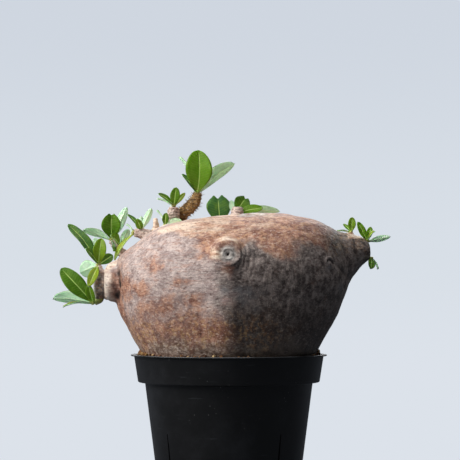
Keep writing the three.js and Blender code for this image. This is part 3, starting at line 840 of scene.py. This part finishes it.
def stem_finder():
    """A search tree of all points on the CAD stubs and branches."""
    points = [point for name in STEMS for point in cad_points(name)]
    tree = KDTree(len(points))
    for i, co in enumerate(points):
        tree.insert(co, i)
    tree.balance()
    return tree


def build_caudex():
    stems = stem_finder()
    bm = evenly_skinned("caudex", CAUDEX_VOXEL)
    smoothed(bm, 2)
    smoothed(bm, 12, keep=is_twig)
    smoothed(bm, 30, keep=lambda vert: (vert.co - NOSE_SCAR * MM).length > 9 * MM)
    refine(bm, NOSE_SCAR, 9, 3)
    refine(bm, RIGHT_SCAR, 9, 2)
    refine(bm, BACK_SCAR, 8, 3)
    refine(bm, TOP_SCAR, 10, 1)
    refine(bm, KNOB_HOLE, 4, 2)
    layers = {name: float_layer(bm, name) for name in CAUDEX_MASKS}
    bm.normal_update()
    moves = []
    for vert in bm.verts:
        height, masks = caudex_relief(vert.co, vert.normal)
        if is_twig(vert):
            height = 0.25 * height + 0.35
            masks["peach_and_highlight"] = 0.9
        gap = stems.find(vert.co)[2] / MM
        height += 1.1 * ease(3.2, 0.4, gap)
        moves.append(vert.normal * height * MM)
        for name, value in masks.items():
            vert[layers[name]] = value
    for vert, move in zip(bm.verts, moves):
        vert.co += move
    skin = BVHTree.FromBMesh(bm)
    add_piece("caudex_body", bm, CAUDEX_SKIN, ["caudex"])
    return skin


# ---- stubs and branches ----

# Each one's material and slot, how strong its knobs and its wrinkles are, and its extra girth.
PLAIN_STUB = (STUB_BARK, "stub_bark", 1.0, 1.0, 0.0)
STEMS = {
    "left_low_shoot": (GREEN_SHOOT, "green_shoot", 0.3, 0.3, 0.0),
    "left_top_shoot": PLAIN_STUB,
    "back_left_branch": PLAIN_STUB,
    "shoulder_stub": PLAIN_STUB,
    "forked_stub": PLAIN_STUB,
    "spiny_branch": (SPINY_BARK, "spiny_bark", 1.7, 1.0, 0.45),
    "crown_stub": PLAIN_STUB,
}
STEM_VOXEL = 0.42 * MM
SPINE_LENGTH = (1.5 * MM, 2.7 * MM)
SPINE_RADIUS = 0.2 * MM
SPINE_SPACING = 1.05 * MM
SPINE_COUNT = 230


def build_stem(name, skin):
    """A stub with wrinkles and leaf scars, its foot sunk into the caudex."""
    material, slot_name, knobs, wrinkles, girth = STEMS[name]
    bm = evenly_skinned(name, STEM_VOXEL)
    smoothed(bm, 3)
    bm.normal_update()
    crevice = float_layer(bm, "crevice")
    callus = float_layer(bm, "callus")
    moves = []
    for vert in bm.verts:
        p = vert.co / MM
        cell = noise.voronoi(p / 2.6)[0][0]
        fine = 0.22 * noise.noise(p / 1.3) * wrinkles
        rings = 0.14 * math.sin(p.z * 3.2 + 2 * noise.noise(p / 4)) * wrinkles
        height = 0.32 * ease(0.6, 0.15, cell) * knobs + fine + rings + girth
        # Painted shade in the hollows of the wrinkles and rings.
        vert[crevice] = 0.75 * ease(-0.02, -0.28, fine + rings) * wrinkles
        vert[callus] = 0.65 * ease(0.26, 0.14, cell) * wrinkles
        location, normal, _, distance = skin.find_nearest(vert.co)
        signed = (vert.co - location).dot(normal) / MM
        sink = ease(1.6, 0.2, signed) if distance < 2 * MM else 0.0
        moves.append((vert.normal * (height + 0.4 * sink) - normal * sink * 1.5) * MM)
    for vert, move in zip(bm.verts, moves):
        vert.co += move
    bm.normal_update()
    outline = [(face.calc_center_median(), face.normal.copy()) for face in bm.faces]
    add_piece(name + "_bark", bm, material, [name])
    return outline


def set_tips(bm, verts, base, tip_at):
    """Marks how near each vertex is to a thorn's or bud's tip."""
    layer = float_layer(bm, "tip")
    reach = (tip_at - base).length_squared
    for vert in verts:
        vert[layer] = (vert.co - base).dot(tip_at - base) / reach


def build_spines(outline):
    """Short dry spines all over the branch, leaning towards its end."""
    draw = random.Random(7)
    bm = bmesh.new()
    float_layer(bm, "tip")
    taken = []
    spots = sorted(outline, key=lambda spot: [round(spot[0][axis], 6) for axis in (2, 0, 1)])
    for _ in range(SPINE_COUNT * 12):
        if len(taken) >= SPINE_COUNT:
            break
        place, normal = spots[draw.randrange(len(spots))]
        if any((place - other).length < SPINE_SPACING for other in taken):
            continue
        taken.append(place)
        lean = (normal + Vector((0.25, 0, 0.45)) + random_vector(draw, -0.3, 0.3)).normalized()
        length = draw.uniform(*SPINE_LENGTH)
        radius = SPINE_RADIUS * draw.uniform(0.8, 1.3)
        turned = Matrix.Translation(place + lean * (length / 2 - 0.15 * MM)) @ facing(lean)
        form = {"radius1": radius, "radius2": 0.03 * MM, "depth": length, "matrix": turned}
        made = bmesh.ops.create_cone(bm, cap_ends=True, segments=5, **form)["verts"]
        set_tips(bm, made, place, place + lean * length)
    add_piece("branch_spines", bm, SPINE)


# ---- leaves ----

# Each tuft, and how some of its leaves, by number, differ from the rest. A tone runs from 0,
# bluish, through deep and bright green to 1, olive. A notch is cut in the tip, a fold is how
# steep the halves stand, a wave is how much the edge ripples, and a shift bows it sideways.
TUFTS = {
    "left_low": {
        1: {"tone": 0.28, "wave": 0.3}, 2: {"tone": 0.34}, 3: {"tone": 0.95}, 4: {"tone": 0.02},
        5: {"tone": 0.62},
    },
    "left_top": {
        1: {"tone": 0.72, "fold": 0.4}, 2: {"tone": 0.22}, 3: {"tone": 0.12, "wave": 0.8}, 6: {"tone": 0.85},
        7: {"tone": 0.2},
    },
    "back_left": {1: {"tone": 0.32, "fold": 0.46, "notch": 0.08}},
    "side_branch": {1: {"tone": 0.66}},
    "shoulder": {1: {"tone": 0.08}, 2: {"tone": 0.55}},
    "stub_end": {2: {"tone": 0.9}},
    "ridge": {2: {"tone": 0.3}},
    "forked": {2: {"tone": 0.4}, 3: {"tone": 0.9}},
    "spiny_branch": {1: {"tone": 0.5, "fold": 0.32, "wave": 0.25, "shift": 0.05}, 4: {"tone": 0.12}},
    "crown": {2: {"tone": 0.26, "notch": 0.12, "fold": 0.2}, 3: {"tone": 0.5}},
    "crown_side": {1: {"tone": 0.06, "notch": 0.13, "wave": 0.6, "fold": 0.12}},
    "right_top": {1: {"tone": 0.7}},
    "right_tip": {3: {"tone": 0.85}},
    "right_under": {},
}
LEAF_MARKS = ("across_mm", "along_mm", "along_share", "edge", "under", "tone")
ACROSS_CUTS = 16
ALONG_CUTS = 34
FOOT_HALF_WIDTH = 0.8
SHOULDER = 1.22
BLADE_THICKNESS = 0.3
LEAF_FOLD = 0.26
LEAF_BOW = 0.07
LONE_STALK = 2 * MM
CAP_REACH = 0.68 * MM
PEAK_SHARE = 0.56


def cap_centres(points):
    """A CAD leaf's two ends: the points with four close neighbours, one in each cap's middle."""
    found = []
    for point in points:
        close = [other for other in points if (other - point).length < CAP_REACH]
        if len(close) >= 5:
            found.append(point)
    pairs = ((one, two) for one in found for two in found)
    return max(pairs, key=lambda pair: (pair[0] - pair[1]).length)


def leaf_axes(node):
    """A CAD leaf's start, length, half-width, and its directions along and up."""
    corners = {tuple(round(c, 7) for c in point) for point in cad_points(node)}
    points = [Vector(corner) for corner in sorted(corners)]
    start, tip = cap_centres(points)
    chord = tip - start
    shares = [(point - start).dot(chord) / chord.length_squared for point in points]
    offsets = [point - start - chord * share for point, share in zip(points, shares)]
    if sum(offset.length * (share - 0.5) for offset, share in zip(offsets, shares)) < 0:
        start = tip
        chord = -chord
        shares = [1 - share for share in shares]
    along = chord.normalized()
    middle = [offset for offset, share in zip(offsets, shares) if 0.25 < share < 0.9]
    rise = sum(middle, Vector())
    up = (rise - along * rise.dot(along)).normalized()
    across = along.cross(up)
    half_width = max(abs((point - start).dot(across)) for point in points)
    return SimpleNamespace(start=start, length=chord.length, half_width=half_width, along=along, up=up)


def tuft_crown(leaves):
    """The point nearest to all the leaves' own lines, which is where they spring from."""
    if len(leaves) == 1:
        return leaves[0].start - leaves[0].along * LONE_STALK
    total = Matrix(((0, 0, 0), (0, 0, 0), (0, 0, 0)))
    target = Vector()
    for leaf in leaves:
        a = leaf.along
        across = Matrix.Identity(3) - Matrix([[a[i] * a[j] for j in range(3)] for i in range(3)])
        total = total + across
        target += across @ leaf.start
    return total.inverted() @ target


def blade_template():
    """A flat blade of two skins; x runs across, y along, and z tells the skins apart."""
    bm = bmesh.new()
    bmesh.ops.create_grid(bm, x_segments=ACROSS_CUTS, y_segments=ALONG_CUTS, size=1.0)
    bmesh.ops.solidify(bm, geom=bm.faces[:], thickness=0.1)
    bmesh.ops.recalc_face_normals(bm, faces=bm.faces)
    heights = [vert.co.z for vert in bm.verts]
    middle = (max(heights) + min(heights)) / 2
    for vert in bm.verts:
        vert.co.z = 1.0 if vert.co.z > middle else -1.0
    return as_mesh(bm, "blade_template")


def blade_half_width(share, half_width, notch):
    """Half the blade's width: a wedge-shaped foot, broad past the middle, and a round tip."""
    end = 1 - 0.9 * notch
    swing = math.sin(math.pi * min(share * end, 1.0) ** SHOULDER)
    power = 0.9 if share < PEAK_SHARE else 0.5
    return max(FOOT_HALF_WIDTH * (1 - share), half_width * max(swing, 0.0) ** power)


def add_leaf(bm, template, leaf, crown, style, draw):
    """One leaf from the crown of its tuft to its tip, with its marks for the material."""
    first = len(bm.verts)
    bm.from_mesh(template)
    bm.verts.ensure_lookup_table()
    layers = [float_layer(bm, name) for name in LEAF_MARKS]
    length = leaf.length / MM
    wide = leaf.half_width / MM
    stalk = max((leaf.start - crown).dot(leaf.along) / MM, 0.5)
    across = leaf.along.cross(leaf.up)
    notch = style.get("notch", 0.0)
    shift = style.get("shift", 0.0)
    fold = style.get("fold", LEAF_FOLD + draw.uniform(-0.05, 0.07))
    wave = style.get("wave", draw.uniform(0.15, 0.5))
    phase = draw.uniform(0, 2 * math.pi)
    curl = draw.uniform(0.0, 0.05)
    tone = style.get("tone", 0.3 + draw.uniform(-0.14, 0.3))
    bend = draw.uniform(-0.03, 0.03)
    for vert in list(bm.verts)[first:]:
        side = math.copysign(abs(vert.co.x) ** 1.6, vert.co.x)
        share = (vert.co.y + 1) / 2
        skin = 1 if vert.co.z > 0 else -1
        half = blade_half_width(share, wide, notch)
        arch = math.sin(math.pi * share)
        y = share * (length + stalk) - stalk
        y -= 0.9 * notch * length * ease(0.62, 1.0, share) * (0.5 + 0.5 * math.cos(2 * math.pi * side))
        x = side * half
        z = fold * abs(x) * ease(0.05, 0.3, share) + LEAF_BOW * length * arch
        z += wave * 0.09 * wide * side * side * math.sin(share * 13 + phase + (1.2 if side > 0 else 0))
        z -= curl * length * ease(0.55, 1.1, share)
        rib = bump(x, 0.5) * max(1 - share, 0.0) ** 0.6
        flat = BLADE_THICKNESS / 2 + (-0.14 if skin > 0 else 0.42) * rib
        blade = ease(0.75, 1.7, half)
        z += skin * ((1 - blade) * 0.62 * math.sqrt(max(1 - side * side, 0.0)) + blade * flat)
        marks = (x, y, share, abs(side), 0.0 if skin > 0 else 1.0, tone)
        for layer, value in zip(layers, marks):
            vert[layer] = value
        x += (bend * share * share + shift * arch) * length
        vert.co = leaf.start + (across * x + leaf.along * y + leaf.up * z) * MM


def build_tufts():
    """Each tuft's leaves as one piece; returns where each crown is and which way it points."""
    template = blade_template()
    crowns = []
    for number, (tuft, styles) in enumerate(TUFTS.items()):
        draw = random.Random(100 + number)
        prefix = tuft + "_leaf_"
        nodes = sorted(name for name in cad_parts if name.startswith(prefix))
        leaves = [leaf_axes(name) for name in nodes]
        crown = tuft_crown(leaves)
        bm = bmesh.new()
        for name in LEAF_MARKS:
            float_layer(bm, name)
        for name, leaf in zip(nodes, leaves):
            style = styles.get(int(name.removeprefix(prefix)), {})
            add_leaf(bm, template, leaf, crown, style, draw)
        bmesh.ops.remove_doubles(bm, verts=bm.verts, dist=0.004 * MM)
        add_piece(tuft + "_tuft", bm, LEAF, nodes)
        mean = sum((leaf.along for leaf in leaves), Vector()) / len(leaves)
        crowns.append((crown, mean.normalized()))
    return crowns


BUDS_EACH = 7
BUD_LENGTH = (1.3 * MM, 2.6 * MM)
BUD_RADIUS = 0.55 * MM
HEART_LENGTH = 2.0 * MM
HEART_RADIUS = 1.5 * MM


def build_buds(crowns):
    """Small scales and one round heart at each crown, yellow-green with brown tips."""
    draw = random.Random(23)
    bm = bmesh.new()
    float_layer(bm, "tip")
    for crown, mean in crowns:
        for i in range(BUDS_EACH + 1):
            lean = (mean * 0.7 + random_vector(draw, -1, 1) * 0.75).normalized()
            length = draw.uniform(*BUD_LENGTH)
            radius = BUD_RADIUS * draw.uniform(0.8, 1.4)
            tip = length
            if i == BUDS_EACH:
                lean, length, radius = mean, HEART_LENGTH, HEART_RADIUS
                tip = 3 * length
            made = bmesh.ops.create_uvsphere(bm, u_segments=8, v_segments=6, radius=1.0)["verts"]
            for vert in made:
                narrow = 1 - 0.45 * max(vert.co.z, 0)
                vert.co.x *= narrow
                vert.co.y *= narrow
            size = Matrix.Diagonal((radius, radius, length / 2, 1))
            centre = crown + lean * (length / 2 - 0.3 * MM)
            place = Matrix.Translation(centre) @ facing(lean) @ size
            bmesh.ops.transform(bm, matrix=place, verts=made)
            set_tips(bm, made, crown, crown + lean * tip)
    add_piece("crown_buds", bm, BUD_SCALE)


# ---- the grit ----

GRIT_VOXEL = 1.4 * MM
HEAP_TURN = math.radians(-36)
GRAIN_RADIUS = (1.0 * MM, 2.1 * MM)
GRAIN_TRIES = 9000
GRAIN_LOWEST = 95.2 * MM
LIP_INSIDE = BAND_TOP_RADIUS - WALL - 0.3 * MM


def grain_template():
    """A chip of stone: a cube with its edges taken off."""
    bm = bmesh.new()
    bmesh.ops.create_cube(bm, size=1.6)
    cut = {"offset": 0.42, "affect": "EDGES", "segments": 1, "profile": 0.5}
    bmesh.ops.bevel(bm, geom=bm.edges[:], material=-1, clamp_overlap=True, **cut)
    return as_mesh(bm, "grain_template")


def build_grit_bed(skin):
    """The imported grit, banked against the caudex; returns its upper faces' places and normals."""
    bm = evenly_skinned("grit", GRIT_VOXEL)
    smoothed(bm, 3)
    bm.normal_update()
    for vert in bm.verts:
        p = vert.co / MM
        height = 0.18 * noise.noise(p / 2.4) - 0.15
        if vert.normal.z > 0.25 and p.z > 95:
            height = 0.5 * noise.noise(p / 2.2) - 0.5
            gap = skin.find_nearest(vert.co)[3] / MM
            out = p.xy.length
            middle = ease(0.7, 0.95, (-p.y + 0.15 * p.x) / out)
            heaped = bump(math.atan2(p.y, p.x) - HEAP_TURN, 0.5) * ease(57, 53.5, out)
            vert.co.z += ((2.6 - 2.0 * middle) * ease(7, 1.0, gap) + 2.4 * heaped) * MM
        vert.co += vert.normal * height * MM
    bm.normal_update()
    spots = []
    for face in bm.faces:
        place = face.calc_center_median()
        if face.normal.z > 0.3 and place.z > GRAIN_LOWEST:
            spots.append((tuple(round(c, 6) for c in place), face.normal.copy()))
    add_piece("grit_bed", bm, GRIT_BED, ["grit"])
    return sorted(spots, key=lambda spot: spot[0])


def is_free(centre, radius, skin, taken):
    """Whether a grain fits at a place outside the caudex, inside the pot and off the others."""
    location, away, _, distance = skin.find_nearest(centre)
    if (centre - location).dot(away) < 0 or distance < radius * 0.3:
        return False
    if centre.xy.length + radius * 0.9 > LIP_INSIDE:
        return False
    return all((centre - other).length >= (radius + size) * 0.82 for other, size in taken)


def build_grains(skin, spots):
    """Loose grains half sunk in the bed."""
    draw = random.Random(41)
    template = grain_template()
    bm = bmesh.new()
    tone_layer = float_layer(bm, "grain_tone")
    taken = []
    for _ in range(GRAIN_TRIES):
        place, normal = spots[draw.randrange(len(spots))]
        radius = draw.uniform(*GRAIN_RADIUS)
        stretch = random_vector(draw, 0.75, 1.15)
        turn = random_vector(draw, -1, 1)
        tone = draw.random()
        centre = Vector(place) + normal * radius * 0.5
        if not is_free(centre, radius, skin, taken):
            continue
        taken.append((centre, radius))
        first = len(bm.verts)
        bm.from_mesh(template)
        bm.verts.ensure_lookup_table()
        made = list(bm.verts)[first:]
        for vert in made:
            vert.co = vert.co * (1 + draw.uniform(-0.12, 0.12))
            vert[tone_layer] = tone
        size = Matrix.Diagonal((*(stretch * radius), 1))
        bmesh.ops.transform(bm, matrix=Matrix.Translation(centre) @ facing(turn) @ size, verts=made)
    add_piece("grit_grains", bm, GRIT_GRAIN, sharp_angle=38)


# ---- stage, lights and camera ----

EYE = Vector((0.7, -923, 126.9)) * MM
AIM = Vector((0.7, 0, 174.3)) * MM
LENS = 117.4
SWEEP_RADIUS = 2.6
SWEEP_BEND = 1.0
SWEEP_HEIGHT = 3.2


def build_stage():
    corners = [(0, 0), (SWEEP_RADIUS, 0), (SWEEP_RADIUS, SWEEP_HEIGHT)]
    bm = spun(rounded(corners, {1: SWEEP_BEND}, segments=16), 96)
    bmesh.ops.reverse_faces(bm, faces=bm.faces)
    mesh = as_mesh(bm, "sweep")
    mesh.materials.append(make_stage_cloth())
    mesh.shade_smooth()
    placed("sweep", mesh)


def aim(thing, place, target):
    thing.location = place
    thing.rotation_euler = (Vector(target) - Vector(place)).to_track_quat("-Z", "Y").to_euler()


def add_light(name, place, size, power, colour):
    light = bpy.data.lights.new(name, "AREA")
    light.shape = "RECTANGLE"
    light.size, light.size_y = size
    light.energy = power
    light.color = colour
    aim(placed(name, light), place, (0, 0, 0.14))


def build_lights():
    add_light("window", (-0.95, -0.42, 0.82), (0.8, 0.8), 21, (1.0, 0.98, 0.955))
    add_light("front_fill", (-0.75, -1.4, 0.55), (1.0, 0.9), 3.0, (0.93, 0.96, 1.0))
    add_light("top_fill", (0.4, -0.1, 1.4), (0.9, 0.9), 6.5, (0.97, 0.98, 1.0))
    add_light("back_glow", (0.0, 1.15, 0.8), (1.6, 0.8), 13, (0.95, 0.97, 1.0))
    world = bpy.data.worlds.new("studio")
    world.use_nodes = True
    sky = {"Color": (0.62, 0.68, 0.76, 1), "Strength": 0.14}
    connect(world.node_tree.nodes["Background"], sky)
    bpy.context.scene.world = world


def build_camera():
    data = bpy.data.cameras.new("camera")
    data.lens = LENS
    data.sensor_width = 36
    data.clip_start = 0.01
    data.clip_end = 20
    camera = placed("camera", data)
    aim(camera, EYE, AIM)
    bpy.context.scene.camera = camera


bpy.context.scene.view_settings.view_transform = "Standard"
bpy.context.scene.view_settings.look = "None"
build_stage()
build_lights()
build_camera()
build_pot()
caudex_skin = build_caudex()
outlines = {name: build_stem(name, caudex_skin) for name in STEMS}
build_spines(outlines["spiny_branch"])
build_buds(build_tufts())
build_grains(caudex_skin, build_grit_bed(caudex_skin))
